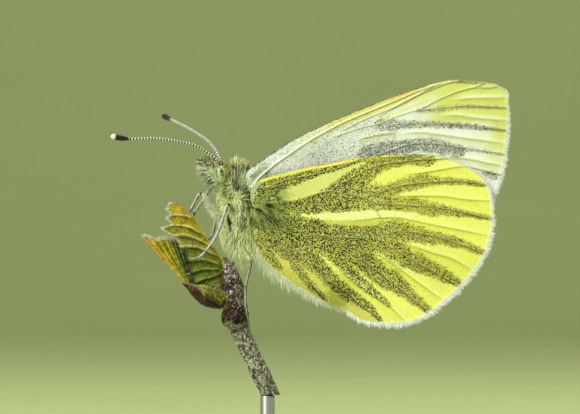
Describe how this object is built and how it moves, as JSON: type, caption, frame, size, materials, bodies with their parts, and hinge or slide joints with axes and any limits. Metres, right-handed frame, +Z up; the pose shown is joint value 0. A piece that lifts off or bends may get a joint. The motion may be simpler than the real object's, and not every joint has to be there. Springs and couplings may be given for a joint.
{
  "type": "butterfly model on a perch",
  "caption": "Still life-size green-veined white butterfly, wings closed, clinging to an opening leaf bud on a cut twig, held up by a plain round display stand",
  "frame": {"origin": "centre of the underside of the display stand, which is also the bottom centre of the whole part", "axes": "+Z up; the butterfly faces -X; its left side faces -Y"},
  "size_m": [0.0335, 0.025, 0.0364],
  "materials": {
    "body_fur": "soft grey-green and cream fur",
    "leg_shell": "pale, finely scaled",
    "feeler_shell": "black and white rings",
    "eye_lens": "smooth pale green",
    "forewing_scales": "matt white, yellow at the tip",
    "hindwing_scales": "matt yellow, dusted dark along the veins",
    "twig_bark": "rough grey-brown bark",
    "bud_brown": "dark brown bud scales",
    "leaf_green": "young pleated leaf",
    "stand_metal": "brushed",
    "stand_black": "satin"
  },
  "bodies": {
    "root": {"head": "body_fur", "thorax": "body_fur", "abdomen": "body_fur", "palp_left": "body_fur", "palp_right": "body_fur", "eye_left": "eye_lens", "eye_right": "eye_lens", "antenna_left": "feeler_shell", "antenna_right": "feeler_shell", "leg_front_left": "leg_shell", "leg_front_right": "leg_shell", "leg_mid_left": "leg_shell", "leg_mid_right": "leg_shell", "leg_hind_left": "leg_shell", "leg_hind_right": "leg_shell", "forewing_left": "forewing_scales", "forewing_right": "forewing_scales", "hindwing_left": "hindwing_scales", "hindwing_right": "hindwing_scales", "perch_twig": "twig_bark", "perch_node": "bud_brown", "perch_bud_core": "leaf_green", "perch_scale_right": "bud_brown", "perch_scale_left": "bud_brown", "perch_leaf_right": "leaf_green", "perch_leaf_left": "leaf_green", "stand_rod": "stand_metal", "stand_base": "stand_black"}
  },
  "joints": []
}
